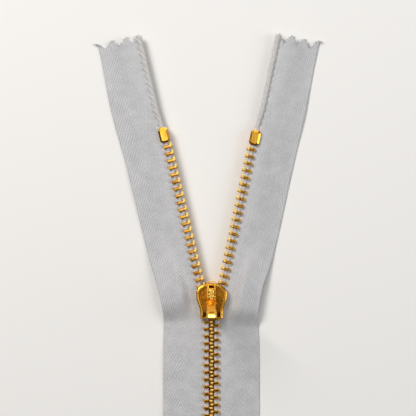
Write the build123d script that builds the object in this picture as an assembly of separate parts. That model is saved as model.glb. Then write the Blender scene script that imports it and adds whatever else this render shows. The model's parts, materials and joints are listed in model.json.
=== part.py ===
from build123d import *
from math import asin, cos, hypot, radians, sin
import os

# A closed-end metal zipper, size 3, half open and lying flat.  Millimetres.
# X runs across the tape, +Y towards the open end, +Z up from the table.
# The origin is on the slider's flat underside, on the centreline of the chain.

# ---- chain ----
PITCH = 2.0  # from one tooth to the next on the same side
TEETH_PER_PART = 25  # on each side, below the bend and above it
MID_Z = 2.2  # height of the chain's middle plane
TOOTH_THICK = 0.82  # along the chain
TOOTH_HALF_HEIGHT = 1.15
TOOTH_TIP_X = 0.37  # how far a head passes the centreline
TOOTH_LEG_X = 2.24  # outer end of the legs
TOOTH_CORNER = 0.35
TOOTH_ROUND = 0.26  # along the upper and lower edges of the bar
NUB_HALF_WIDTH = 0.23
NUB_HALF_HEIGHT = 0.55
NUB_RISE = 0.6
NUB_ROUND = 0.19
SOCKET_SLACK = 0.06
FIRST_TOOTH = 0.65  # from the bend to the first tooth above it

# ---- bead cord and tape ----
CORD_X = 1.2
CORD_RADIUS = 0.65
TAPE_EDGE_X = 13.5
TAPE_FLAT_X = 6.9  # the tape is level out to here, then falls to the table
GUIDE_X = (4.6, 4.75)  # the sewing guide, a shallow line woven along the tape
GUIDE_DEPTH = 0.06
TAPE_THICK = 0.5
TAPE_TOP_Y = 76.1
TAPE_BOTTOM_Y = -76.0

# ---- bends: one hinge line on each side, just inside the slider's tail ----
LEFT = -1
RIGHT = 1
BEND_Y = {LEFT: -4.75, RIGHT: -5.75}
OPEN_ANGLE = {LEFT: 13.24, RIGHT: -11.94}

# ---- stops ----
TOP_STOP_LENGTH = 4.25
TOP_STOP_WIDTH = 2.77
TOP_STOP_INNER_X = 0.08  # past the centreline, less than a head
TOP_STOP_HALF_HEIGHT = 1.25
TOP_STOP_GAP = 0.85  # from the last tooth, clear of its nub
TOP_STOP_CORNER = 0.62
TOP_STOP_BEVEL = (0.32, 0.5)  # down and in
BOTTOM_STOP_GAP = 0.47
BOTTOM_STOP_LENGTH = 3.0
BOTTOM_STOP_ROUND = 0.35
BOTTOM_STOP_HALF_WIDTH = 2.45

# ---- slider ----
SLIDER_HEIGHT = 4.4
PLATE_THICK = 0.9
SLOT_HALF_HEIGHT = 0.5  # the tape leaves the slider through this slot
SHOULDER_X = 4.27
SHOULDER_Y = 1.95
FRONT_Y = 4.65
NOSE_X = 1.2
BROW = [(2.6, 4.2), (3.5, 3.55), (4.05, 2.8)]  # between nose and shoulder
FLANK = [(4.07, 0.0), (3.3, -2.2)]  # between shoulder and tail
TAIL_X = 3.1
TAIL_START_Y = -3.9
TAIL_Y = -5.1
CHANNEL_FRONT_X = 3.98
CHANNEL_TAIL_X = 2.45
FLANGE_FRONT_Y = 2.0
EDGE_ROUND = 0.3
FIELD_DEPTH = 0.45
FIELD_TAIL_Y = -4.7
RIM_WIDTH = 0.7
SPINE_HALF_WIDTH = 1.25
LOOP_LENGTH = 2.5
LOOP_DEPTH = 1.0
LOOP_Y = 4.78
LOOP_Z = 3.75
LOOP_THICK = 0.6
LOOP_WALL = 0.28
NOSE_PIT_Y = (3.4, 4.15)  # the pocket between the front lugs, ahead of the cap
NOSE_PIT_DEPTH = 0.6

# ---- crown: lugs, cap, leaf spring and lock pawl ----
LUG_INNER_X = 0.72
LUG_OUTER_X = 1.0
LUG_TOP_Z = 6.6
LUG_ROUND = 0.45
FRONT_LUG_Y = (2.1, 4.3)
REAR_LUG_Y = (-5.0, -3.7)
CAP_HALF_WIDTH = 0.68
CAP_FRONT_Y = 3.3
CAP_REAR_Y = -5.05
CAP_ROOF_Z = 6.5
CAP_TOP_Z = 7.0
CAP_FOOT_FRONT = 0.5
CAP_FOOT_REAR = 0.35
CAP_WALL = 0.15
CAP_WALL_Y = (-3.5, 2.0)
CAP_WALL_Z = 6.0
CAP_GROOVE_Y = (1.55, 2.15)
PAWL_HINGE_Y = 2.4
PAWL_Z = 5.92
PAWL_THICK = 0.25
PAWL_HALF_WIDTH = 0.42
PAWL_PIN_X = (-0.70, -0.44)
PAWL_PIN_Y = (-4.60, -4.20)
PAWL_TIP_Z = 3.7
PIN_SLOT_Y = (-4.7, -3.7)
PIN_SLACK = 0.1
SPRING_THICK = 0.12

# ---- pull tab ----
PULL_Y = 1.0
PULL_Z = 5.1
PULL_LEAN = 12.0  # from upright, towards the tail
PULL_LENGTH = 20.0
PULL_HALF_WIDTH = 1.42
PULL_WAIST = 1.12
PULL_THICK = 1.1
EYE_HALF_WIDTH = 1.08
EYE_END = 6.6
BAR_RADIUS = 0.4
TAB_HOLE_RADIUS = 0.7
TAB_HOLE_FROM_END = 1.9
PANEL_DEPTH = 0.12


def span_box(x, y, z):
    """A box between two X, two Y and two Z values."""
    size = (x[1] - x[0], y[1] - y[0], z[1] - z[0])
    middle = ((x[0] + x[1]) / 2, (y[0] + y[1]) / 2, (z[0] + z[1]) / 2)
    return Pos(*middle) * Box(*size)


def bend_axis(side):
    return Axis((side * CORD_X, BEND_Y[side], 0), (0, 0, 1))


def open_out(shape, side):
    """Turns a piece of the closed row to where the open branch lies."""
    return shape.rotate(bend_axis(side), OPEN_ANGLE[side])


def mitre_plane(side, angle):
    """An upright plane through the bend, square to the direction at that angle."""
    turn = radians(angle)
    return Plane(origin=(side * CORD_X, BEND_Y[side], 0), z_dir=(-sin(turn), cos(turn), 0))


def below_bend(shape, side):
    return split(shape, bisect_by=mitre_plane(side, OPEN_ANGLE[side] / 2), keep=Keep.BOTTOM)


def above_bend(shape, side):
    return split(shape, bisect_by=mitre_plane(side, -OPEN_ANGLE[side] / 2), keep=Keep.TOP)


def tape_section():
    """Right-hand tape across its width: level at the chain, then an S-bend down to the table."""
    run = TAPE_EDGE_X - TAPE_FLAT_X
    drop = MID_Z - TAPE_THICK / 2
    radius = (run**2 + drop**2) / (4 * drop)
    turn = asin(run / 2 / radius)
    middle = (TAPE_FLAT_X + run / 2, MID_Z - drop / 2)
    normal = (sin(turn), cos(turn))
    top = MID_Z + TAPE_THICK / 2
    guide = [
        (CORD_X, top),
        (GUIDE_X[0], top),
        (GUIDE_X[0], top - GUIDE_DEPTH),
        (GUIDE_X[1], top - GUIDE_DEPTH),
        (GUIDE_X[1], top),
        (TAPE_FLAT_X, top),
    ]
    edges = [Line(a, b) for a, b in zip(guide, guide[1:])]
    edges.append(Line((CORD_X, MID_Z - TAPE_THICK / 2), (TAPE_FLAT_X, MID_Z - TAPE_THICK / 2)))
    for half in (TAPE_THICK / 2, -TAPE_THICK / 2):
        level = (TAPE_FLAT_X, MID_Z + half)
        bend = (middle[0] + half * normal[0], middle[1] + half * normal[1])
        edge = (TAPE_EDGE_X, MID_Z - drop + half)
        edges += [
            TangentArc(level, bend, tangent=(1, 0)),
            TangentArc(bend, edge, tangent=(cos(turn), -sin(turn))),
        ]
    edges.append(Line((CORD_X, MID_Z - TAPE_THICK / 2), (CORD_X, MID_Z + TAPE_THICK / 2)))
    edges.append(Line((TAPE_EDGE_X, 0), (TAPE_EDGE_X, TAPE_THICK)))
    return make_face(edges)


def whole_cord(side):
    length = TAPE_TOP_Y - TAPE_BOTTOM_Y
    disc = Plane.XZ * Pos(side * CORD_X, MID_Z) * Circle(CORD_RADIUS)
    return Pos(0, TAPE_BOTTOM_Y, 0) * extrude(disc, amount=length, dir=(0, 1, 0))


def whole_tape(side):
    length = TAPE_TOP_Y - TAPE_BOTTOM_Y
    strip = Pos(0, TAPE_BOTTOM_Y, 0) * extrude(Plane.XZ * tape_section(), amount=length, dir=(0, 1, 0))
    if side == LEFT:
        strip = strip.mirror(Plane.YZ)
    return strip - whole_cord(side)


def tooth(side):
    """One tooth at Y = 0: legs round the cord, a nub on its upper side and a hollow below."""
    bar = span_box(
        (-TOOTH_TIP_X, TOOTH_LEG_X),
        (-TOOTH_THICK / 2, TOOTH_THICK / 2),
        (MID_Z - TOOTH_HALF_HEIGHT, MID_Z + TOOTH_HALF_HEIGHT),
    )
    bar = chamfer(bar.edges().filter_by(Axis.Y), TOOTH_CORNER)
    bar = fillet(bar.faces().filter_by(Axis.Y).edges(), TOOTH_ROUND)
    nub = span_box(
        (-NUB_HALF_WIDTH, NUB_HALF_WIDTH),
        (0, TOOTH_THICK / 2 + NUB_RISE),
        (MID_Z - NUB_HALF_HEIGHT, MID_Z + NUB_HALF_HEIGHT),
    )
    nub = fillet(nub.faces().sort_by(Axis.Y)[-1].edges(), NUB_ROUND)
    wide = NUB_HALF_WIDTH + SOCKET_SLACK
    tall = NUB_HALF_HEIGHT + SOCKET_SLACK
    depth = NUB_RISE + SOCKET_SLACK - (PITCH / 2 - TOOTH_THICK)
    socket = span_box(
        (-1, wide),
        (-TOOTH_THICK, -TOOTH_THICK / 2 + depth),
        (MID_Z - tall, MID_Z + tall),
    )
    shape = bar + nub - socket
    if side == LEFT:
        shape = shape.mirror(Plane.YZ)
    return shape - whole_cord(side) - whole_tape(side)


def first_tooth_y(side, above):
    """Where the lowest tooth above or below the bend stands, on the closed row."""
    first = BEND_Y[side] + FIRST_TOOTH
    return first if above else first - TEETH_PER_PART * PITCH


def teeth(side, above):
    pattern = tooth(side)
    first = first_tooth_y(side, above)
    return [pattern.moved(Pos(0, first + i * PITCH, 0)) for i in range(TEETH_PER_PART)]


def top_stop(side):
    """A block clamped round the cord, with cut corners and a bevel round its upper face."""
    last_tooth = first_tooth_y(side, True) + (TEETH_PER_PART - 1) * PITCH
    start = last_tooth + TOOTH_THICK / 2 + TOP_STOP_GAP
    outer = TOP_STOP_WIDTH - TOP_STOP_INNER_X
    across = (-TOP_STOP_INNER_X, outer) if side == RIGHT else (-outer, TOP_STOP_INNER_X)
    tall = (MID_Z - TOP_STOP_HALF_HEIGHT, MID_Z + TOP_STOP_HALF_HEIGHT)
    block = span_box(across, (start, start + TOP_STOP_LENGTH), tall)
    block = chamfer(block.edges().filter_by(Axis.Z), TOP_STOP_CORNER)
    upper = block.faces().sort_by(Axis.Z)[-1]
    block = chamfer(upper.edges(), TOP_STOP_BEVEL[1], TOP_STOP_BEVEL[0], reference=upper)
    block = fillet(block.faces().sort_by(Axis.Z)[0].edges(), 0.2)
    return block - whole_cord(side) - whole_tape(side)


def bottom_stop():
    """One block clamped round both cords at the closed end."""
    top = first_tooth_y(RIGHT, False) - TOOTH_THICK / 2 - BOTTOM_STOP_GAP
    block = span_box(
        (-BOTTOM_STOP_HALF_WIDTH, BOTTOM_STOP_HALF_WIDTH),
        (top - BOTTOM_STOP_LENGTH, top),
        (MID_Z - TOP_STOP_HALF_HEIGHT, MID_Z + TOP_STOP_HALF_HEIGHT),
    )
    block = fillet(block.edges().filter_by(Axis.Z), 0.5)
    block = fillet(block.faces().sort_by(Axis.Z)[-1].edges(), BOTTOM_STOP_ROUND)
    block = fillet(block.faces().sort_by(Axis.Z)[0].edges(), BOTTOM_STOP_ROUND)
    for side in (LEFT, RIGHT):
        block = block - whole_cord(side) - whole_tape(side)
    return block


def inset_curve(points, start, end, inset):
    """A spline through the points, each first moved square to the curve by the inset."""
    chords = [(b[0] - a[0], b[1] - a[1]) for a, b in zip(points, points[2:])]
    moved = []
    for (x, y), (run, rise) in zip(points, [start, *chords, end]):
        length = hypot(run, rise)
        moved.append((x + inset * rise / length, y - inset * run / length))
    return Spline(*moved, tangents=(start, end))


def plate_outline(inset=0.0, tail_y=TAIL_Y):
    """The slider seen from above: round brow, drawn-in flanks, straight tail."""
    shoulder = (SHOULDER_X, SHOULDER_Y)
    tail_x = TAIL_X - inset
    front_y = FRONT_Y - inset
    half = [
        Line((0, front_y), (NOSE_X, front_y)),
        inset_curve([(NOSE_X, FRONT_Y), *BROW, shoulder], (1, 0), (0, -1), inset),
        inset_curve([shoulder, *FLANK, (TAIL_X, TAIL_START_Y)], (0, -1), (0, -1), inset),
        Line((tail_x, TAIL_START_Y), (tail_x, tail_y)),
        Line((tail_x, tail_y), (0, tail_y)),
    ]
    return make_face(half + [edge.mirror(Plane.YZ) for edge in half])


def channel():
    """The space between the plates that the two rows run through."""
    half = make_face(
        Polyline(
            (0, TAIL_Y - 1),
            (CHANNEL_TAIL_X, TAIL_Y - 1),
            (CHANNEL_TAIL_X, TAIL_Y),
            (CHANNEL_FRONT_X, FLANGE_FRONT_Y),
            (SHOULDER_X + 1, FLANGE_FRONT_Y + 0.3),
            (SHOULDER_X + 1, FRONT_Y + 1),
            (0, FRONT_Y + 1),
            close=True,
        )
    )
    region = half + half.mirror(Plane.YZ)
    return extrude(Pos(0, 0, PLATE_THICK) * region, SLIDER_HEIGHT - 2 * PLATE_THICK)


def wedge():
    """The post between the plates that parts the two rows."""
    outline = Polyline(
        (0, -0.65),
        (0.9, 2.5),
        (1.12, 3.4),
        (0.75, FRONT_Y - 0.1),
        (-0.75, FRONT_Y - 0.1),
        (-1.12, 3.4),
        (-0.9, 2.5),
        close=True,
    )
    post = extrude(make_face(outline), SLIDER_HEIGHT - 0.4)
    return Pos(0, 0, 0.2) * post


def side_fields():
    """The two sunk D-shaped fields in the upper plate."""
    floor_z = SLIDER_HEIGHT - FIELD_DEPTH
    inside = extrude(Pos(0, 0, floor_z) * plate_outline(RIM_WIDTH, FIELD_TAIL_Y), 1)
    spine = span_box((-SPINE_HALF_WIDTH, SPINE_HALF_WIDTH), (TAIL_Y, FRONT_Y), (0, SLIDER_HEIGHT + 2))
    return inside - spine


def lugs():
    shapes = []
    for low, high in (FRONT_LUG_Y, REAR_LUG_Y):
        for side in (LEFT, RIGHT):
            x = sorted((side * LUG_INNER_X, side * LUG_OUTER_X))
            lug = span_box(x, (low, high), (SLIDER_HEIGHT - 0.2, LUG_TOP_Z))
            shapes.append(fillet(lug.edges().filter_by(Axis.X).group_by(Axis.Z)[-1], LUG_ROUND))
    return shapes


def nose_loop():
    """A small flat hoop at the front edge of the upper plate."""
    outer = SlotOverall(LOOP_LENGTH, LOOP_DEPTH)
    inner = SlotOverall(LOOP_LENGTH - 2 * LOOP_WALL, LOOP_DEPTH - 2 * LOOP_WALL)
    return extrude(Pos(0, LOOP_Y, LOOP_Z) * (outer - inner), LOOP_THICK)


def slider_body():
    shell = extrude(plate_outline(), SLIDER_HEIGHT)
    shell = fillet(shell.faces().sort_by(Axis.Z)[-1].edges(), EDGE_ROUND)
    shell = fillet(shell.faces().sort_by(Axis.Z)[0].edges(), EDGE_ROUND)
    slot = span_box(
        (-SHOULDER_X - 1, SHOULDER_X + 1),
        (TAIL_Y - 1, FRONT_Y + 1),
        (MID_Z - SLOT_HALF_HEIGHT, MID_Z + SLOT_HALF_HEIGHT),
    )
    shell = shell - channel() - slot
    shell = shell - side_fields()
    shell = shell + wedge()
    shell = shell + nose_loop()
    for lug in lugs():
        shell = shell + lug
    pin_slot = span_box(
        (PAWL_PIN_X[0] - PIN_SLACK, PAWL_PIN_X[1] + PIN_SLACK),
        PIN_SLOT_Y,
        (MID_Z, SLIDER_HEIGHT + 1),
    )
    pit = span_box(
        (-LUG_INNER_X, LUG_INNER_X),
        NOSE_PIT_Y,
        (SLIDER_HEIGHT - NOSE_PIT_DEPTH, SLIDER_HEIGHT + 1),
    )
    return shell - pin_slot - pit


def slider_cap():
    """The bridge between the lugs that holds the pull, the pawl and the spring."""
    x = (-CAP_HALF_WIDTH, CAP_HALF_WIDTH)
    cap = span_box(x, (CAP_REAR_Y, CAP_FRONT_Y), (CAP_ROOF_Z, CAP_TOP_Z))
    cap = cap + span_box(x, (CAP_FRONT_Y - CAP_FOOT_FRONT, CAP_FRONT_Y), (SLIDER_HEIGHT, CAP_ROOF_Z))
    cap = cap + span_box(x, (CAP_REAR_Y, CAP_REAR_Y + CAP_FOOT_REAR), (SLIDER_HEIGHT, CAP_ROOF_Z))
    for side in (LEFT, RIGHT):
        wall_x = sorted((side * (CAP_HALF_WIDTH - CAP_WALL), side * CAP_HALF_WIDTH))
        cap = cap + span_box(wall_x, CAP_WALL_Y, (CAP_WALL_Z, CAP_ROOF_Z))
    cap = fillet(cap.edges().filter_by(Axis.X).group_by(Axis.Z)[-1], 0.45)
    cap = fillet(cap.faces().sort_by(Axis.Z)[-1].edges().filter_by(Axis.Y), 0.25)
    groove = span_box((-1, 1), CAP_GROOVE_Y, (CAP_TOP_Z - 0.22, CAP_TOP_Z + 1))
    return cap - groove


def leaf_spring():
    """A thin bowed strip under the cap's roof that presses on the pawl."""
    bow = ThreePointArc((-3.2, CAP_ROOF_Z - 0.08), (-0.4, 6.29), (2.4, CAP_ROOF_Z - 0.08))
    strip = Plane.YZ * trace(bow, SPRING_THICK)
    return extrude(strip, amount=PAWL_HALF_WIDTH - 0.05, both=True)


def lock_pawl():
    """The lever under the spring, with its cross pin and the locking pin at the tail."""
    hinge_z = PAWL_Z + PAWL_THICK / 2
    wide = (-PAWL_HALF_WIDTH, PAWL_HALF_WIDTH)
    lever = span_box(wide, (PAWL_PIN_Y[0], PAWL_HINGE_Y), (PAWL_Z, PAWL_Z + PAWL_THICK))
    cross = Pos(0, PAWL_HINGE_Y, hinge_z) * Rot(0, 90, 0) * Cylinder(0.22, 2 * CAP_HALF_WIDTH)
    foot = span_box((PAWL_PIN_X[0], 0), PAWL_PIN_Y, (PAWL_Z, PAWL_Z + PAWL_THICK))
    pin = span_box(PAWL_PIN_X, PAWL_PIN_Y, (PAWL_TIP_Z, PAWL_Z + PAWL_THICK))
    return lever + cross + foot + pin


def pull_blank():
    """The tab's outline, lying flat with the cross bar's axis on X: eye, waist and end."""
    half = [
        Line((0, -0.65), (PULL_HALF_WIDTH - 0.55, -0.65)),
        TangentArc((PULL_HALF_WIDTH - 0.55, -0.65), (PULL_HALF_WIDTH, -0.1), tangent=(1, 0)),
        Line((PULL_HALF_WIDTH, -0.1), (PULL_HALF_WIDTH, EYE_END + 0.4)),
        Spline(
            (PULL_HALF_WIDTH, EYE_END + 0.4),
            (PULL_WAIST, 11.0),
            (PULL_HALF_WIDTH, PULL_LENGTH - 2.6),
            tangents=((0, 1), (0, 1)),
        ),
        Line((PULL_HALF_WIDTH, PULL_LENGTH - 2.6), (PULL_HALF_WIDTH, PULL_LENGTH - 0.5)),
        Line((PULL_HALF_WIDTH, PULL_LENGTH - 0.5), (PULL_HALF_WIDTH - 0.5, PULL_LENGTH)),
        Line((PULL_HALF_WIDTH - 0.5, PULL_LENGTH), (0, PULL_LENGTH)),
    ]
    outline = make_face(half + [edge.mirror(Plane.YZ) for edge in half])
    blank = extrude(outline, PULL_THICK / 2, both=True)
    return fillet(blank.faces().filter_by(Axis.Z).edges(), 0.2)


def pull_tab():
    """A slender tab with an eye round the cap, made upright and then leaned."""
    blank = pull_blank()
    window = span_box((-EYE_HALF_WIDTH, EYE_HALF_WIDTH), (-2, EYE_END), (-2, 2))
    window = fillet(window.edges().filter_by(Axis.Z).group_by(Axis.Y)[-1], 0.5)
    hole = Pos(0, PULL_LENGTH - TAB_HOLE_FROM_END, 0) * Cylinder(TAB_HOLE_RADIUS, 3)
    blank = blank - window - hole
    panel = Pos(0, 12.0) * SlotOverall(6.6, 1.3, rotation=90)
    for face in (LEFT, RIGHT):
        sunk = Pos(0, 0, face * (PULL_THICK / 2 - PANEL_DEPTH / 2)) * panel
        blank = blank - extrude(sunk, PANEL_DEPTH / 2, both=True)
    bar = Rot(0, 90, 0) * Cylinder(BAR_RADIUS, 2 * PULL_HALF_WIDTH - 0.3)
    upright = (Rot(90, 0, 0) * (blank + bar)).rotate(Axis.X, PULL_LEAN)
    return Pos(0, PULL_Y, PULL_Z) * upright


def parts():
    shapes = {}
    for side, name in ((LEFT, "left"), (RIGHT, "right")):
        shapes[f"{name}_tape_lower"] = below_bend(whole_tape(side), side)
        shapes[f"{name}_tape_upper"] = open_out(above_bend(whole_tape(side), side), side)
        shapes[f"{name}_cord_lower"] = below_bend(whole_cord(side), side)
        shapes[f"{name}_cord_upper"] = open_out(above_bend(whole_cord(side), side), side)
        shapes[f"{name}_teeth_lower"] = Compound(children=teeth(side, False))
        opened = [open_out(piece, side) for piece in teeth(side, True)]
        shapes[f"{name}_teeth_upper"] = Compound(children=opened)
        shapes[f"{name}_top_stop"] = open_out(top_stop(side), side)
    shapes["bottom_stop"] = bottom_stop()
    shapes["slider_body"] = slider_body()
    shapes["slider_cap"] = slider_cap()
    shapes["leaf_spring"] = leaf_spring()
    shapes["lock_pawl"] = lock_pawl()
    shapes["pull_tab"] = pull_tab()
    return shapes


os.makedirs("parts", exist_ok=True)
for node, shape in parts().items():
    export_step(shape, f"parts/{node}.step")
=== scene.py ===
import json
import math
import random

import bpy
import numpy as np
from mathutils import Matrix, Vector


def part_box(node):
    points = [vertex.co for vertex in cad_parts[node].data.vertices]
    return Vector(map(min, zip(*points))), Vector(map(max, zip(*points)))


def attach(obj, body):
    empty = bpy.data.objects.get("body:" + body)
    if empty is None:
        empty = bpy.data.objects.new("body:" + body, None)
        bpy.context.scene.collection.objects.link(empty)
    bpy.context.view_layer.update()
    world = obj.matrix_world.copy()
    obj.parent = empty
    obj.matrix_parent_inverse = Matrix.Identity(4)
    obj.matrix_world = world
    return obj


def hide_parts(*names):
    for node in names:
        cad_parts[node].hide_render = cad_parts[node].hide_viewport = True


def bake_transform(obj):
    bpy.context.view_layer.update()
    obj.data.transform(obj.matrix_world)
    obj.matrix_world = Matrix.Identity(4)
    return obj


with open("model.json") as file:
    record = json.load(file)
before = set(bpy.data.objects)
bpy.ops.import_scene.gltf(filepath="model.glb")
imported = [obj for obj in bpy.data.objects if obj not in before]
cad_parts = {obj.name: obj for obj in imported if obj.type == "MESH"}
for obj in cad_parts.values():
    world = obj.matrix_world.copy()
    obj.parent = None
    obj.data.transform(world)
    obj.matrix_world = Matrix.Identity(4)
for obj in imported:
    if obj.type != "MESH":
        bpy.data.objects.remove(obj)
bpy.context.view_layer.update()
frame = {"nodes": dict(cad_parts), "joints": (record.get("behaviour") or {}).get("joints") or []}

# A size 3 metal zipper, half open and lying flat.  Metres, in the CAD's frame: X across, +Y to the open end.
# The metal pieces are the CAD's own, with new materials.  The two tapes and their bead cords are made here,
# one continuous piece a side, and bend between the chain and each branch.

MM = 0.001
LEFT, RIGHT = -1, 1
NAMES = {LEFT: "left", RIGHT: "right"}

# ---- sizes shared with the CAD ----
JOINTS = {j["name"]: j for j in frame["joints"]}
BEND = {side: JOINTS[f"{NAMES[side]}_branch_bend"]["pos_m"] for side in (LEFT, RIGHT)}
OPEN_ANGLE = {LEFT: math.radians(13.24), RIGHT: math.radians(11.94)}  # each branch from the chain's line
MID_Z = BEND[LEFT][2]
CORD_X = BEND[RIGHT][0]
EDGE_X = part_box("right_tape_lower")[1][0]
BOTTOM_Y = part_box("right_cord_lower")[0][1]
TOP_Y = 76.1 * MM  # the upper end, with the tape laid straight
CORD_RADIUS = 0.65 * MM
TAPE_THICK = 0.5 * MM
TAPE_WIDTH = EDGE_X - CORD_X
RAMP_X = 4.2 * MM  # level inside the slider, then an easy ramp to the table
RAMP_EASE = 2.2 * MM
TOOTH_PITCH = 2.0 * MM
FIRST_TOOTH = 0.65 * MM  # from the bend to the first tooth above it
SUNK_Z = (3.90 * MM, 4.00 * MM)  # the floors of the slider's two sunk fields
POCKET_Z = (3.75 * MM, 3.85 * MM)  # the bottom of the pocket in its nose

# ---- camera and lights ----
VIEW_CENTRE = (-0.97 * MM, 25.6 * MM)
VIEW_HEIGHT = 0.50
VIEW_WIDTH = 115.8 * MM
SENSOR = 36  # millimetres, as Blender counts a camera's sensor
SKY = (0.95, 0.96, 1.0)
SKY_STRENGTH = 0.06
WHITE = (1.0, 1.0, 1.0)
WARM_WHITE = (1.0, 0.97, 0.94)
AIM = (0, 0.02, 0)
# each is a name, a place, what it points at, its size, watts and colour
LIGHTS = [
    ("key", (-0.38, 0.40, 0.52), AIM, (0.30, 0.30), 4.0, WARM_WHITE),
    ("above", (-0.20, 0.15, 0.62), (-0.20, 0.15, 0), (0.41, 0.36), 0.95, WHITE),
    ("behind", (0.10, 0.62, 0.34), AIM, (0.70, 0.16), 1.2, WHITE),
    ("fill", (0.52, 0.00, 0.40), AIM, (0.30, 0.50), 1.6, WHITE),
    ("front", (-0.01, -0.28, 0.56), AIM, (0.08, 0.06), 0.10, WHITE),
]
FLOOR_HALF = 3.0
FLOOR_COLOUR = (0.80, 0.79, 0.77)

# ---- the lie of the cloth ----
BEND_LENGTH = 11 * MM
LINE_POINTS = 4001  # on the bead's line, which is worked out in small steps
LINE_MARGIN = 5 * MM  # beyond each end of the tape
PULL_IN = {LEFT: 0.05, RIGHT: 0.115}  # how much narrower the tape lies beside the slider
PULL_IN_Y = 3.5 * MM
PULL_IN_SPREAD = 9.3 * MM
PULL_IN_OUT = 2 * MM  # nearer to the bead the tape keeps its width
ARCH = 3.5 * MM  # the height that the tape bows up for each unit of PULL_IN
RIDGE = 1.9 * MM  # the cloth stands up round the slider and drops at its tail
# it rises between two distances from the bead and two places along the tape, and sinks back between two more
RIDGE_OUT = (3.2 * MM, 6 * MM)
RIDGE_FOOT = {LEFT: (-5.9 * MM, 2.0 * MM), RIGHT: (-7.4 * MM, 0.2 * MM)}
RIDGE_HEAD = (2.0 * MM, 20 * MM)
# how far the outer edge bellies out, where along the tape, and over what length
BULGE = {LEFT: (0.72 * MM, 57 * MM, 12.5 * MM), RIGHT: (0.28 * MM, 54 * MM, 13 * MM)}
# each dimple's distance out from the bead, place along the tape, radius and depth
DIMPLES = {
    LEFT: (6.4 * MM, 56.0 * MM, 0.8 * MM, 0.12 * MM),
    RIGHT: (6.3 * MM, 39.0 * MM, 2.0 * MM, 0.3 * MM),
}
# waves along the tape: height, length for each radian, shift, and how far out they start
WAVES = [(0.22 * MM, 9.5 * MM, 1.3, 5 * MM), (0.16 * MM, 4.1 * MM, 1.0, 7 * MM)]
RELAX = 0.6 * MM  # the bead leans out above the top stops, and its rope swells
RELAX_Y = (46 * MM, 56 * MM)

# ---- weave ----
APEX = 7.3 * MM  # from the bead to the ridge of the herringbone
RIB_RISE = 1.75  # along the tape for each unit across it
RIB_PITCH = 1.35 * MM  # along the tape
RIB_HEIGHT = 0.045 * MM
RIB_SINK = 1.5  # the relief's middle lies this many rib heights under the tape's face
RIB_WOBBLE = 0.06  # in ribs
WOBBLE_ACROSS = 1.7 * MM
WOBBLE_ALONG = 2.3 * MM
NICK = 0.4  # the dip at each second cross yarn, in rib heights
WARP_PITCH = 0.26 * MM  # yarns that run along the tape
WEFT_PITCH = 0.34 * MM  # yarns that run across it
YARN_SWAY = 0.22  # how far the yarns wander, in millimetres
WEFT_SHARE = 0.2  # of the height that a warp yarn stands
FLUFF_SHARE = 0.6
FLATTENED = (0.45, 0.8)  # how high the warp yarns stand, where flattened and where not
TONE = (0.24, 0.90)  # the heights where the painted shade of the hollows and the pale colour are reached
SOIL = 0.86  # the tone of soiled patches
SOIL_MOST = 0.28
YARN_BUMP = 0.10 * MM
# noise, in features for each millimetre
SWAY_NOISE = 1.1
FLAT_NOISE = 0.35
FLUFF_NOISE = 3.0
SOIL_NOISE = 0.22
STITCH_OUT = 1.05 * MM  # the stitches that hold the bead, beside it
STITCH_RADIUS = 0.28 * MM
STITCH_DEPTH = 0.22 * MM
STITCH_PITCH = 2.0 * MM
STITCH_SHARPNESS = 8

# ---- tape mesh ----
ACROSS = 92  # points across the woven face
ACROSS_UNDER = 24  # points across the back
ALONG = 700  # rows from end to end
BEAD_MARGIN = 0.2 * MM  # the tape starts this far out from the bead's middle
SELVAGE_MARGIN = 0.12 * MM  # its faces end this far short of the edge, and a rounded edge closes them
SELVAGE_TIP = 0.05 * MM
SELVAGE_THIN = 0.5 * MM  # the tape thins out over this width
SELVAGE_LOOP = 0.05 * MM  # the weft's turns along the edge
LOOP_PITCH = 0.62 * MM
CUT_REACH = 5 * MM  # the length over which the mesh is drawn back to a pinked end
# the yarns' steps along a cut: height in millimetres, radians for each millimetre across, shift
CUT_STEPS = [(0.16, 11, 0), (0.12, 23, 1)]
# how far the zigzag-cut ends stand back, as (from the bead, back) in millimetres
PINKED_TOP = {
    LEFT: [
        (-0.65, 0.6), (-0.1, 0), (0.5, 0.4), (1.6, 1.0), (1.95, 1.9), (2.3, 2.6), (2.7, 1.7),
        (3.15, 0.5), (3.6, 0), (4.5, 0.65), (5.5, 1.4), (6.4, 2.1), (6.75, 1.25), (7.25, 0.6),
        (7.7, 0), (8.7, 0.1), (9.3, 1.0), (10.4, 1.9), (11.0, 1.15), (12.3, 0),
    ],
    RIGHT: [
        (-0.65, 0.5), (0.3, 0.35), (1.05, 0.75), (1.4, 1.7), (2.2, 2.85), (2.55, 1.9), (3.1, 0.8),
        (3.9, 0.05), (4.9, 0.35), (5.15, 1.5), (5.85, 2.1), (6.5, 1.4), (7.0, 0.6), (7.85, 0.1),
        (8.55, 0.45), (9.1, 1.6), (9.75, 2.6), (10.2, 1.7), (10.95, 0.5), (11.6, 0), (12.3, 0),
    ],
}
PINKED_FOOT = [
    (-0.65, 0.5), (1.2, 0), (3.2, 2.4), (5.2, 0.2), (7.3, 2.3), (9.4, 0.1), (11.2, 2.2), (12.3, 0.4),
]

# ---- bead mesh ----
BEAD_RINGS = 1000
BEAD_AROUND = 24
BEAD_STRANDS = 3
LAY_PITCH = 6.0 * MM  # one turn of the rope
BEAD_TIP = 0.9 * MM  # its ends are rounded over this length
BEAD_SHORT = (0.4 * MM, 0.2 * MM)  # how far it stops short of the tape's foot and top
BEAD_SWELL = 0.3  # how much thicker it is above the top stops
GROOVE = (0.64, 0.35)  # the rope's radius between its strands, and what a strand adds to it

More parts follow.
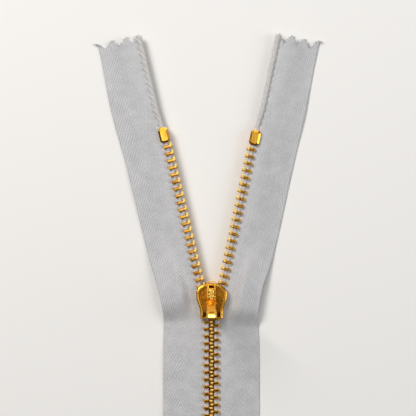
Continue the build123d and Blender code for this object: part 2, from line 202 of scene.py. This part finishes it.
# ---- loose yarn ends ----
YARN_ENDS = 210
TUFT = 34  # of them at the upper outer corner
TUFT_OUT = 12.1  # millimetres from the bead
TUFT_SPREAD = 0.15
CUT_SPAN = (-0.5, 12.4)  # millimetres out from the bead
TUFT_LENGTH = (0.35, 1.0)  # millimetres
YARN_LENGTH = (0.2, 0.65)
YARN_RADIUS = (0.05, 0.085)
TUFT_LEAN = (0.5, 1.1)  # sideways, for each unit of length
HAIR_SIDES = 5
HAIR_STEPS = 7
HAIR_TAPER = 0.45
HAIR_FLOOR = 0.09 * MM  # the lowest that a yarn's middle lies

# ---- cloth colours: yarn tops, and the painted shade in the hollows between yarns ----
TAPE_YARN = ((0.76, 0.76, 0.77), (0.29, 0.29, 0.30))
BEAD_YARN = ((0.70, 0.69, 0.67), (0.39, 0.38, 0.36))
LOOSE_YARN = ((0.68, 0.68, 0.69), (0.42, 0.42, 0.43))

# ---- metal ----
GOLD = (0.92, 0.48, 0.06)
TARNISH = (0.60, 0.22, 0.015)
POLISHED = (0.95, 0.57, 0.11)
POLISHED_DARK = (0.70, 0.31, 0.03)
STEEL = (0.62, 0.60, 0.56)
STEEL_DARK = (0.40, 0.38, 0.35)
# worn brass on the teeth's heads, paled further as a painted highlight
RUBBED_HIGHLIGHT = (1.0, 0.72, 0.22)
# painted dark reflection on the teeth's level tops
DARK_REFLECTION = (0.13, 0.045, 0.008)
# painted shade for the tail end of the slider's sunk fields
TAIL_SHADE = (0.012, 0.005, 0.001)
TAIL_SHADE_Y = (-2.7 * MM, -3.7 * MM)  # painted shade darkens the tail end of the slider's sunk fields between these
# painted shade for the bottom of the pocket in the slider's nose
POCKET_SHADE = (0.10, 0.012, 0.003)
EDGE_TINT = (1.0, 0.78, 0.42)  # what a grazing reflection keeps
SUNK_ROUGH = 0.46
SUNK_PITTING = 2.5
POCKET_ROUGH = 0.5
RUBBED_HIGHLIGHT_ROUGH = 0.5
METAL_BUMP = 0.03 * MM
LEVEL = (0.80, 0.93)  # the upward part of a normal, on a sloping face and on a level one
HEAD_REACH = 0.75 * MM  # from the bead's line to the rubbed part of a tooth's head, which is also a painted highlight
HEAD_EASE = 0.15 * MM
ROW_EASE = 0.15  # as a cosine of the place in the row
# where a tooth's head is rubbed pale, worn brass that is also a painted highlight: past the tooth's place,
# half its length, and how much painted dark reflection the level tops keep
OPEN_HEAD = (0.45 * MM, 0.6 * MM, 0.4)
CLOSED_HEAD = (0.15 * MM, 0.25 * MM, 0.75)
# noise, in features for each metre
PATCHES = 420.0
SCRATCHES = (6000.0, 900.0, 2500.0)
SKIN = 2600.0
GRAINS = 6500.0


def smooth(x, low, high):
    """Eases from nought at low to one at high."""
    t = np.clip((x - low) / (high - low), 0, 1)
    return t * t * (3 - 2 * t)


# ---------------------------------------------------------------- camera, lights, floor


def make_camera():
    """Straight above the zipper, centred a little above the slider."""
    data = bpy.data.cameras.new("camera")
    data.sensor_width = SENSOR
    data.lens = SENSOR * VIEW_HEIGHT / VIEW_WIDTH
    data.clip_start = 0.01
    cam = bpy.data.objects.new("camera", data)
    cam.location = (*VIEW_CENTRE, MID_Z + VIEW_HEIGHT)
    bpy.context.collection.objects.link(cam)
    bpy.context.scene.camera = cam


def area_light(name, place, target, size, power, colour):
    """A rectangular soft box that points from its place at a target."""
    data = bpy.data.lights.new(name, "AREA")
    data.shape = "RECTANGLE"
    data.size, data.size_y = size
    data.energy = power
    data.color = colour
    lamp = bpy.data.objects.new(name, data)
    lamp.location = place
    lamp.rotation_mode = "QUATERNION"
    lamp.rotation_quaternion = (Vector(target) - Vector(place)).to_track_quat("-Z", "Y")
    bpy.context.collection.objects.link(lamp)


def make_studio():
    """Soft boxes in a dim room.

    The key stands to the upper left.  Another hangs level over the left side and the open end, so that level
    metal shines in the V and goes dark in the chain.  One stands beyond the open end, one to the right, and a
    small one in front lights the pull's end.
    """
    scene = bpy.context.scene
    scene.view_settings.view_transform = "Standard"
    world = bpy.data.worlds.new("studio")
    world.use_nodes = True
    sky = world.node_tree.nodes["Background"]
    sky.inputs["Color"].default_value = (*SKY, 1)
    sky.inputs["Strength"].default_value = SKY_STRENGTH
    scene.world = world
    for light in LIGHTS:
        area_light(*light)


def make_floor():
    """A plain pale table top."""
    mesh = bpy.data.meshes.new("floor")
    half = FLOOR_HALF
    corners = [(-half, -half, 0), (half, -half, 0), (half, half, 0), (-half, half, 0)]
    mesh.from_pydata(corners, [], [(0, 1, 2, 3)])
    floor = bpy.data.objects.new("floor", mesh)
    bpy.context.collection.objects.link(floor)
    mat, _, shader = new_material("pale_floor")
    shader.inputs["Base Color"].default_value = (*FLOOR_COLOUR, 1)
    shader.inputs["Roughness"].default_value = 0.9
    mesh.materials.append(mat)


# ---------------------------------------------------------------- materials


def new_material(name):
    """A material, its node tree and its shader."""
    mat = bpy.data.materials.new(name)
    mat.use_nodes = True
    tree = mat.node_tree
    return mat, tree, tree.nodes["Principled BSDF"]


def node(tree, kind, inputs=None, **settings):
    """A new node, whose inputs are values or other nodes' sockets."""
    made = tree.nodes.new(kind)
    for key, value in settings.items():
        setattr(made, key, value)
    for key, value in (inputs or {}).items():
        if isinstance(value, bpy.types.NodeSocket):
            tree.links.new(value, made.inputs[key])
        else:
            made.inputs[key].default_value = value
    return made


def math_node(tree, operation, *values):
    """The result of one sum."""
    return node(tree, "ShaderNodeMath", dict(enumerate(values)), operation=operation).outputs[0]


def noise(tree, where, scale, detail=3.0, **inputs):
    """Noise with its scale in features for each unit of where."""
    settings = {"Vector": where, "Scale": scale, "Detail": detail, **inputs}
    return node(tree, "ShaderNodeTexNoise", settings).outputs[0]


def axis_of(tree, where, axis):
    """One coordinate of a place: 0, 1 or 2."""
    return node(tree, "ShaderNodeSeparateXYZ", {0: where}).outputs[axis]


def add_bump(tree, shader, height, strength, distance):
    """Gives a shader's surface fine relief."""
    bump = node(tree, "ShaderNodeBump", {"Height": height, "Strength": strength, "Distance": distance})
    tree.links.new(bump.outputs[0], shader.inputs["Normal"])


def ramp(tree, factor, stops):
    """A colour ramp through (place, colour) stops."""
    made = node(tree, "ShaderNodeValToRGB", {"Fac": factor})
    elements = made.color_ramp.elements
    while len(elements) < len(stops):
        elements.new(0.5)
    for element, (at, colour) in zip(elements, stops):
        element.position = at
        element.color = (*colour, 1)
    return made.outputs["Color"]


def mapping_range(tree, value, low, high, to_low=0.0, to_high=1.0):
    """A value carried from one range to another, and held at its ends."""
    made = node(tree, "ShaderNodeMapRange", {0: value, 1: low, 2: high, 3: to_low, 4: to_high})
    return made.outputs[0]


def mix_colour(tree, factor, a, b):
    """One colour at factor nought, the other at one."""
    made = node(tree, "ShaderNodeMix", data_type="RGBA")
    for key, value in ((0, factor), (6, a), (7, b)):
        if isinstance(value, bpy.types.NodeSocket):
            tree.links.new(value, made.inputs[key])
        else:
            made.inputs[key].default_value = (*value, 1)
    return made.outputs[2]


def wave_node(tree, value, pitch):
    """One at each whole pitch, nought half-way between."""
    turn = math_node(tree, "MULTIPLY", value, 2 * math.pi / pitch)
    return mapping_range(tree, math_node(tree, "COSINE", turn), -1, 1)


def woven_material(name, pale, hollow_shade):
    """Herringbone twill, yarn by yarn: warp floats in mirrored steps over the weft that shows between them.
    The low places between yarns take a painted shade.

    The uv map gives millimetres out from the bead and along the tape.
    """
    mat, tree, shader = new_material(name)
    warp_mm, weft_mm = WARP_PITCH / MM, WEFT_PITCH / MM
    uv = node(tree, "ShaderNodeUVMap", uv_map="flat_mm").outputs[0]
    sway = mapping_range(tree, noise(tree, uv, SWAY_NOISE), 0, 1, -YARN_SWAY, YARN_SWAY)
    across = math_node(tree, "ADD", axis_of(tree, uv, 0), math_node(tree, "MULTIPLY", sway, 0.5))
    along = math_node(tree, "ADD", axis_of(tree, uv, 1), sway)

    column = math_node(tree, "DIVIDE", across, warp_mm)
    middle = math_node(tree, "MULTIPLY", math_node(tree, "FLOOR", column), warp_mm)
    off_apex = math_node(tree, "ABSOLUTE", math_node(tree, "SUBTRACT", middle, APEX / MM))
    phase = math_node(tree, "ADD", along, math_node(tree, "MULTIPLY", off_apex, RIB_RISE))
    over = wave_node(tree, phase, RIB_PITCH / MM)
    under = math_node(tree, "SUBTRACT", 1.0, over)
    warp = math_node(tree, "MULTIPLY", over, wave_node(tree, math_node(tree, "SUBTRACT", column, 0.5), 1.0))
    weft = math_node(tree, "MULTIPLY", wave_node(tree, along, weft_mm), under)

    stand = mapping_range(tree, noise(tree, uv, FLAT_NOISE), 0.35, 0.65, *FLATTENED)
    fluff = noise(tree, uv, FLUFF_NOISE, 5.0, Roughness=0.7)
    height = math_node(tree, "MULTIPLY", warp, stand)
    height = math_node(tree, "ADD", height, math_node(tree, "MULTIPLY", weft, WEFT_SHARE))
    height = math_node(tree, "ADD", height, math_node(tree, "MULTIPLY", fluff, FLUFF_SHARE))

    # painted shade: the low places of the weave take the dark colour, the high yarns the pale one
    colour = mix_colour(tree, mapping_range(tree, height, *TONE), hollow_shade, pale)
    soiled = mapping_range(tree, noise(tree, uv, SOIL_NOISE), 0.3, 0.7, 0.0, SOIL_MOST)
    colour = mix_colour(tree, soiled, colour, tuple(SOIL * c for c in pale))
    tree.links.new(colour, shader.inputs["Base Color"])
    add_bump(tree, shader, height, 0.8, YARN_BUMP)
    shader.inputs["Roughness"].default_value = 0.88
    shader.inputs["Sheen Weight"].default_value = 0.25
    shader.inputs["Sheen Roughness"].default_value = 0.5
    return mat


def level_band(tree, where, low, high):
    """One between two heights and nought elsewhere."""
    z = axis_of(tree, where, 2)
    above = math_node(tree, "GREATER_THAN", z, low)
    return math_node(tree, "MULTIPLY", above, math_node(tree, "LESS_THAN", z, high))


def distance_along(tree, where, start, heading):
    """How far a point lies from a start in one direction."""
    dot = node(tree, "ShaderNodeVectorMath", {0: where, 1: tuple(heading)}, operation="DOT_PRODUCT")
    return math_node(tree, "SUBTRACT", dot.outputs["Value"], start.dot(heading))


def add_sunk_fields(tree, where, look, base, dark):
    """Makes the floors of the slider's sunk fields matte and grainy, and darkens them at the tail with
    painted shade.
    """
    colour, rough, height = look
    inside = level_band(tree, where, *SUNK_Z)
    grains = noise(tree, where, GRAINS, 2.0)
    hollow = tuple(0.15 * c for c in dark)
    slope = tuple(0.7 * c for c in dark)
    crest = tuple(0.9 * c for c in base)
    grainy = ramp(tree, grains, [(0.36, hollow), (0.52, slope), (0.68, crest)])
    # painted shade: the fields darken towards the slider's tail
    tail_shading = mapping_range(tree, axis_of(tree, where, 1), *TAIL_SHADE_Y, 0.0, 0.9)
    grainy = mix_colour(tree, tail_shading, grainy, TAIL_SHADE)
    colour = mix_colour(tree, inside, colour, grainy)
    rough = mapping_range(tree, inside, 0, 1, rough, SUNK_ROUGH)
    pitted = math_node(tree, "MULTIPLY", grains, inside)
    height = math_node(tree, "ADD", height, math_node(tree, "MULTIPLY", pitted, SUNK_PITTING))
    return colour, rough, height


def add_pocket_shade(tree, where, look):
    """Paints shade on the bottom of the pocket in the slider's nose: dull and dark red."""
    colour, rough, height = look
    bottom = level_band(tree, where, *POCKET_Z)
    # painted shade on the pocket's bottom
    colour = mix_colour(tree, bottom, colour, POCKET_SHADE)
    rough = mapping_range(tree, bottom, 0, 1, rough, POCKET_ROUGH)
    return colour, rough, height


def add_rubbed_highlit_heads(tree, where, look, side, above):
    """Rubs the heads of one row pale and matte, worn brass that is also a painted highlight, and paints a
    dark reflection on the level tops of its teeth.

    An open tooth's nub is rubbed over its whole length, and a closed tooth's only where it shows.
    """
    colour, rough, height = look
    past, half, dark_reflection = OPEN_HEAD if above else CLOSED_HEAD
    turned = -side * OPEN_ANGLE[side] if above else 0
    out = Vector((side * math.cos(turned), side * math.sin(turned), 0))
    along = Vector((-math.sin(turned), math.cos(turned), 0))
    bend = Vector(BEND[side])

    normal = node(tree, "ShaderNodeNewGeometry").outputs["Normal"]
    # painted dark reflection: level tops are darkened
    level = mapping_range(tree, axis_of(tree, normal, 2), *LEVEL, 0.0, dark_reflection)
    colour = mix_colour(tree, level, colour, DARK_REFLECTION)

    reach = distance_along(tree, where, bend - out * HEAD_REACH, out)
    inner = mapping_range(tree, reach, HEAD_EASE, -HEAD_EASE)
    row = distance_along(tree, where, bend + along * (FIRST_TOOTH + past), along)
    turn = math_node(tree, "MULTIPLY", row, 2 * math.pi / TOOTH_PITCH)
    edge = math.cos(2 * math.pi * half / TOOTH_PITCH)
    near = mapping_range(tree, math_node(tree, "COSINE", turn), edge - ROW_EASE, edge + ROW_EASE)
    # the heads turn pale: worn brass and painted highlight
    rubbed_highlit = math_node(tree, "MULTIPLY", inner, near)
    colour = mix_colour(tree, rubbed_highlit, colour, RUBBED_HIGHLIGHT)
    rough = mapping_range(tree, rubbed_highlit, 0, 1, rough, RUBBED_HIGHLIGHT_ROUGH)
    return colour, rough, height


def metal_material(name, base, dark, roughness, scratched, peel, slider=False, row=None):
    """Plated brass or steel: patches of tarnish, fine scratches and a soft orange-peel surface.

    slider adds the sunk fields, with painted shade at their tail, and painted shade in the pocket.  row adds
    the rubbed heads, partly painted highlight, and the painted dark reflection on level tops: it is the row's
    side, and whether it lies above the bend.
    """
    mat, tree, shader = new_material(name)
    where = node(tree, "ShaderNodeTexCoord").outputs["Object"]
    patches = noise(tree, where, PATCHES, 5.0)
    bright = tuple(min(1, 1.1 * c) for c in base)
    colour = ramp(tree, patches, [(0.28, dark), (0.50, base), (0.80, bright)])
    rough = mapping_range(tree, patches, 0.3, 0.75, roughness * 1.5, roughness * 0.75)
    stretched = node(tree, "ShaderNodeMapping", {"Vector": where, "Scale": SCRATCHES}).outputs[0]
    height = math_node(tree, "MULTIPLY", noise(tree, stretched, 1.0), scratched)
    height = math_node(tree, "ADD", height, math_node(tree, "MULTIPLY", noise(tree, where, SKIN), peel))
    look = (colour, rough, height)
    if slider:
        look = add_sunk_fields(tree, where, look, base, dark)
        look = add_pocket_shade(tree, where, look)
    if row:
        look = add_rubbed_highlit_heads(tree, where, look, *row)
    colour, rough, height = look
    tree.links.new(colour, shader.inputs["Base Color"])
    tree.links.new(rough, shader.inputs["Roughness"])
    add_bump(tree, shader, height, 0.5, METAL_BUMP)
    shader.inputs["Specular Tint"].default_value = (*EDGE_TINT, 1)
    shader.inputs["Metallic"].default_value = 1.0
    return mat


# ---------------------------------------------------------------- cloth


def bead_line(side, y):
    """The bead's place and heading at distances y up the closed tape: straight, one soft bend, straight."""
    bend_x, bend_y, _ = BEND[side]
    fine = np.linspace(BOTTOM_Y - LINE_MARGIN, TOP_Y + LINE_MARGIN, LINE_POINTS)
    turn = -side * OPEN_ANGLE[side]
    share = smooth(fine, bend_y - BEND_LENGTH / 2, bend_y + BEND_LENGTH / 2)
    heading = turn * share
    step = fine[1] - fine[0]
    x = np.concatenate([[0], np.cumsum(-np.sin(heading[:-1] + np.diff(heading) / 2) * step)])
    up = np.concatenate([[0], np.cumsum(np.cos(heading[:-1] + np.diff(heading) / 2) * step)])
    up += fine[0]
    # the upper end is brought to where a sharp bend would put it
    far = TOP_Y - bend_y
    miss_x = bend_x - far * math.sin(turn) - (bend_x + np.interp(TOP_Y, fine, x))
    miss_y = bend_y + far * math.cos(turn) - np.interp(TOP_Y, fine, up)
    x += miss_x * share
    up += miss_y * share
    return bend_x + np.interp(y, fine, x), np.interp(y, fine, up), np.interp(y, fine, heading)


def section_z(out):
    """Height of the tape's middle at a distance out from the bead: level in the slider, then an easy ramp."""
    x = CORD_X + out
    drop = MID_Z - TAPE_THICK / 2
    slope = drop / (EDGE_X - RAMP_X - RAMP_EASE)
    start = np.clip(x - RAMP_X, 0, RAMP_EASE) ** 2 / (2 * RAMP_EASE)
    middle = np.clip(x - RAMP_X - RAMP_EASE, 0, EDGE_X - RAMP_X - 2 * RAMP_EASE)
    left = np.clip(EDGE_X - x, 0, RAMP_EASE)
    end = RAMP_EASE / 2 - left**2 / (2 * RAMP_EASE)
    return MID_Z - slope * (start + middle + end)


def lay(side, out, y, lift):
    """Points of the cloth at distances out from the bead and y along it, lifted off its middle surface."""
    share = out / TAPE_WIDTH
    beside = np.exp(-(((y - PULL_IN_Y) / PULL_IN_SPREAD) ** 2))
    narrow = 1 - PULL_IN[side] * beside * smooth(out, PULL_IN_OUT, TAPE_WIDTH)
    lean = RELAX * smooth(y, *RELAX_Y) * (1 - share)
    bulge, bulge_y, spread = BULGE[side]
    outward = bulge * np.exp(-(((y - bulge_y) / spread) ** 2)) * share**2
    reach = out * narrow + lean + outward
    x, up, heading = bead_line(side, y)
    px = x + side * reach * np.cos(heading)
    py = up + side * reach * np.sin(heading)

    arch = ARCH * PULL_IN[side] * beside * np.sin(math.pi * np.clip(share, 0, 1)) ** 2
    ridge = RIDGE * smooth(y, *RIDGE_FOOT[side]) * (1 - smooth(y, *RIDGE_HEAD)) * smooth(out, *RIDGE_OUT)
    wave = 0
    for height, length, shift, start in WAVES:
        wave = wave + height * np.sin(y / length + side * shift) * smooth(out, start, TAPE_WIDTH)
    dimple_out, dimple_y, radius, depth = DIMPLES[side]
    off = np.hypot(out - dimple_out, y - dimple_y) / radius
    dimple = depth * np.exp(-(off**2))
    pz = section_z(out) + arch + ridge + np.maximum(wave, 0) + lift - dimple
    return np.stack([px, py, pz], axis=-1)


def pinked(out, zigzag):
    """How far a zigzag-cut end stands back from its highest peak, across the tape."""
    at, back = zip(*zigzag)
    cut = np.interp(out / MM, at, back)
    steps = sum(height * np.sin(out / MM * turns + shift) for height, turns, shift in CUT_STEPS)
    off_peak = smooth(cut, 0, 0.6)
    return np.maximum(cut + steps * off_peak, 0) * MM


def relief_height(out, y):
    """The weave's relief: diagonal ribs nicked at every second cross yarn, and the stitches at the bead."""
    phase = (y + RIB_RISE * np.abs(out - APEX)) / RIB_PITCH
    wobble = RIB_WOBBLE * np.sin(out / WOBBLE_ACROSS + y / WOBBLE_ALONG)
    rib = np.cos(2 * math.pi * (phase + wobble))
    nick = NICK * np.cos(math.pi * y / WEFT_PITCH)
    inside = smooth(out, TAPE_WIDTH, TAPE_WIDTH - SELVAGE_THIN)
    beside_bead = np.exp(-(((out - STITCH_OUT) / STITCH_RADIUS) ** 2))
    stitch = STITCH_DEPTH * beside_bead * np.cos(math.pi * y / STITCH_PITCH) ** STITCH_SHARPNESS
    return RIB_HEIGHT * (rib + nick) * inside - stitch


def mesh_object(name, points, faces, uv):
    """A smooth-shaded mesh, with uv in millimetres of flat cloth."""
    mesh = bpy.data.meshes.new(name)
    mesh.from_pydata(points.reshape(-1, 3).tolist(), [], faces)
    layer = mesh.uv_layers.new(name="flat_mm")
    index = np.empty(len(mesh.loops), np.int32)
    mesh.loops.foreach_get("vertex_index", index)
    layer.data.foreach_set("uv", uv.reshape(-1, 2)[index].astype(np.float32).ravel())
    mesh.polygons.foreach_set("use_smooth", np.ones(len(mesh.polygons), bool))
    made = bpy.data.objects.new(name, mesh)
    bpy.context.collection.objects.link(made)
    return made


def tube_faces(rings, around):
    """Quads round a tube of rings, with no ends."""
    faces = []
    for i in range(rings - 1):
        for k in range(around):
            n = (k + 1) % around
            faces.append((i * around + k, i * around + n, (i + 1) * around + n, (i + 1) * around + k))
    return faces


def end_caps(rings, around):
    """The two faces that close a tube of rings."""
    last = (rings - 1) * around
    return [tuple(range(around))[::-1], tuple(last + k for k in range(around))]


def end_faces(out, first):
    """Triangles that close one cut end, between its upper edge and its coarser lower edge."""
    upper, lower = 0, len(out) - 1
    faces = []
    while upper < ACROSS or lower > ACROSS + 1:
        if upper < ACROSS and (lower == ACROSS + 1 or out[upper + 1] <= out[lower - 1]):
            faces.append((first + upper, first + upper + 1, first + lower))
            upper += 1
        else:
            faces.append((first + upper, first + lower - 1, first + lower))
            lower -= 1
    return faces


def make_tape(side, material):
    """One tape from end to end: a woven face and a plain back, a rounded selvage, and pinked ends."""
    over = np.linspace(BEAD_MARGIN, TAPE_WIDTH - SELVAGE_MARGIN, ACROSS)
    under = np.linspace(TAPE_WIDTH - SELVAGE_MARGIN, BEAD_MARGIN, ACROSS_UNDER)
    out = np.concatenate([over, [TAPE_WIDTH - SELVAGE_TIP], under])
    y_line = np.linspace(BOTTOM_Y, TOP_Y, ALONG)
    out2, y2 = np.meshgrid(out, y_line)
    top_share = smooth(y2, TOP_Y - CUT_REACH, TOP_Y)
    foot_share = smooth(y2, BOTTOM_Y + CUT_REACH, BOTTOM_Y)
    y2 = y2 - pinked(out2, PINKED_TOP[side]) * top_share + pinked(out2, PINKED_FOOT) * foot_share
    face = np.concatenate([np.ones(ACROSS), [0], -np.ones(ACROSS_UNDER)])
    half = TAPE_THICK / 2 * smooth(out2, TAPE_WIDTH + SELVAGE_THIN / 2, TAPE_WIDTH - SELVAGE_THIN)
    relief = (relief_height(out2, y2) - RIB_SINK * RIB_HEIGHT) * (face > 0)
    loops = SELVAGE_LOOP * np.cos(2 * math.pi * y2 / LOOP_PITCH) * (face == 0)
    points = lay(side, out2 + loops, y2, half * face + relief)
    uv = np.stack([out2, y2], axis=-1) / MM
    around = len(out)
    faces = tube_faces(ALONG, around) + [face[::-1] for face in end_faces(out, 0)]
    faces += end_faces(out, (ALONG - 1) * around)
    if side == RIGHT:
        faces = [face[::-1] for face in faces]
    name = NAMES[side]
    made = mesh_object(f"{name}_tape", points, faces, uv)
    made.data.materials.append(material)
    join_branch(made, side, "tape")


def join_branch(made, side, what):
    """Bakes a piece's place into its mesh, and hides both CAD lengths that it takes the place of."""
    name = NAMES[side]
    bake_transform(made)
    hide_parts(f"{name}_{what}_lower", f"{name}_{what}_upper")


def make_bead(side, material):
    """The corded edge: strands laid up in a rope, from end to end of the tape."""
    foot_gap, top_gap = BEAD_SHORT
    low, high = BOTTOM_Y + foot_gap, TOP_Y - top_gap
    y_line = np.linspace(low, high, BEAD_RINGS)
    angle = np.linspace(0, 2 * math.pi, BEAD_AROUND, endpoint=False)
    angle2, y2 = np.meshgrid(angle, y_line)
    strand = np.abs(np.cos(BEAD_STRANDS / 2 * (angle2 - 2 * math.pi * y2 / LAY_PITCH)))
    from_end = np.clip(np.minimum(y2 - low, high - y2) / BEAD_TIP, 0, 1)
    rounded = 0.3 + 0.7 * np.sqrt(1 - (1 - from_end) ** 2)
    swell = 1 + BEAD_SWELL * smooth(y2, *RELAX_Y)
    groove, crown = GROOVE
    radius = CORD_RADIUS * swell * (groove + crown * np.sqrt(strand)) * rounded
    x, up, heading = bead_line(side, y_line)
    lean = RELAX * smooth(y_line, *RELAX_Y)
    across = side * lean[:, None] + radius * np.cos(angle2)
    px = x[:, None] + across * np.cos(heading)[:, None]
    py = up[:, None] + across * np.sin(heading)[:, None]
    pz = MID_Z + radius * np.sin(angle2)
    points = np.stack([px, py, pz], axis=-1)
    faces = tube_faces(BEAD_RINGS, BEAD_AROUND) + end_caps(BEAD_RINGS, BEAD_AROUND)
    uv = np.stack([angle2 * CORD_RADIUS, y2], axis=-1) / MM
    made = mesh_object(f"{NAMES[side]}_bead", points, [face[::-1] for face in faces], uv)
    made.data.materials.append(material)
    join_branch(made, side, "cord")


def hair(path, radius):
    """The rings of a thin tube that tapers along a path."""
    heading = np.gradient(path, axis=0)
    heading /= np.linalg.norm(heading, axis=1)[:, None]
    across = np.cross(heading, (0.2, 0.1, 1.0))
    across /= np.linalg.norm(across, axis=1)[:, None]
    upward = np.cross(across, heading)
    angle = np.linspace(0, 2 * math.pi, HAIR_SIDES, endpoint=False)
    taper = np.linspace(1.0, HAIR_TAPER, len(path))[:, None, None] * radius
    spokes = across[:, None] * np.cos(angle)[:, None] + upward[:, None] * np.sin(angle)[:, None]
    return path[:, None] + taper * spokes


def yarn_end(rng, side, top, tuft):
    """One loose yarn end, as a hair's rings.  The tuft's lean out from the selvage, the others any way."""
    out = (rng.gauss(TUFT_OUT, TUFT_SPREAD) if tuft else rng.uniform(*CUT_SPAN)) * MM
    back = pinked(np.array([out]), PINKED_TOP[side] if top else PINKED_FOOT)[0]
    end_y = TOP_Y - back if top else BOTTOM_Y + back
    onward = 1 if top else -1
    length = rng.uniform(*(TUFT_LENGTH if tuft else YARN_LENGTH)) * MM
    drift = rng.uniform(*TUFT_LEAN) if tuft else rng.gauss(0, 0.5)
    curl = rng.gauss(0, 0.5)
    steps = np.linspace(-0.5, 1, HAIR_STEPS)
    outs = out + length * (drift * steps + curl * steps**2)
    ys = end_y + onward * length * steps * rng.uniform(0.3, 0.9)
    lift = rng.uniform(-0.12, 0.2) * MM + 0.14 * MM * steps**2
    path = lay(side, np.clip(outs, 0, None), ys, lift)
    path[:, 2] = np.maximum(path[:, 2], HAIR_FLOOR)
    return hair(path, rng.uniform(*YARN_RADIUS) * MM)


def make_fray(side, material, top):
    """The loose yarn ends along one pinked edge."""
    rng = random.Random(17 + side + 5 * top)
    hairs = [yarn_end(rng, side, top, top and strand < TUFT) for strand in range(YARN_ENDS)]
    points = np.concatenate(hairs).reshape(-1, 3)
    one = tube_faces(HAIR_STEPS, HAIR_SIDES) + end_caps(HAIR_STEPS, HAIR_SIDES)
    faces = []
    for strand in range(YARN_ENDS):
        start = strand * HAIR_STEPS * HAIR_SIDES
        faces += [tuple(start + v for v in face) for face in one]
    name = NAMES[side]
    made = mesh_object(f"{name}_fray_{'top' if top else 'foot'}", points, faces, points[:, :2] / MM)
    made.data.materials.append(material)
    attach(made, f"{name}_branch" if top else "chain")
    return made


# ---------------------------------------------------------------- making


make_camera()
make_studio()
make_floor()

tape_cloth = woven_material("woven_tape", *TAPE_YARN)
bead_cloth = woven_material("woven_bead", *BEAD_YARN)
loose_yarn = woven_material("loose_yarn", *LOOSE_YARN)
for side in (LEFT, RIGHT):
    frays = [make_fray(side, loose_yarn, top) for top in (True, False)]
    make_tape(side, tape_cloth)
    make_bead(side, bead_cloth)

# the metals' names, colours, roughness, scratches and orange peel
teeth_gold = {}
for side in (LEFT, RIGHT):
    for above in (True, False):
        name = f"tooth_brass_{NAMES[side]}_{'upper' if above else 'lower'}"
        teeth_gold[side, above] = metal_material(name, GOLD, TARNISH, 0.13, 0.12, 0.08, row=(side, above))
stop_gold = metal_material("stop_brass", GOLD, TARNISH, 0.22, 0.4, 0.3)
slider_gold = metal_material("slider_plate", GOLD, TARNISH, 0.14, 0.15, 0.15, slider=True)
polished = metal_material("polished_gold", POLISHED, POLISHED_DARK, 0.10, 0.06, 0.05)
steel = metal_material("spring_steel", STEEL, STEEL_DARK, 0.30, 0.6, 0.1)
# each CAD node takes the metal whose key is in its name
METALS = {
    "left_teeth_lower": teeth_gold[LEFT, False],
    "left_teeth_upper": teeth_gold[LEFT, True],
    "right_teeth_lower": teeth_gold[RIGHT, False],
    "right_teeth_upper": teeth_gold[RIGHT, True],
    "stop": stop_gold,
    "slider_body": slider_gold,
    "slider_cap": polished,
    "pull_tab": polished,
    "leaf_spring": steel,
    "lock_pawl": steel,
}
for name, made in frame["nodes"].items():
    for part, metal in METALS.items():
        if part in name:
            made.data.materials.clear()
            made.data.materials.append(metal)
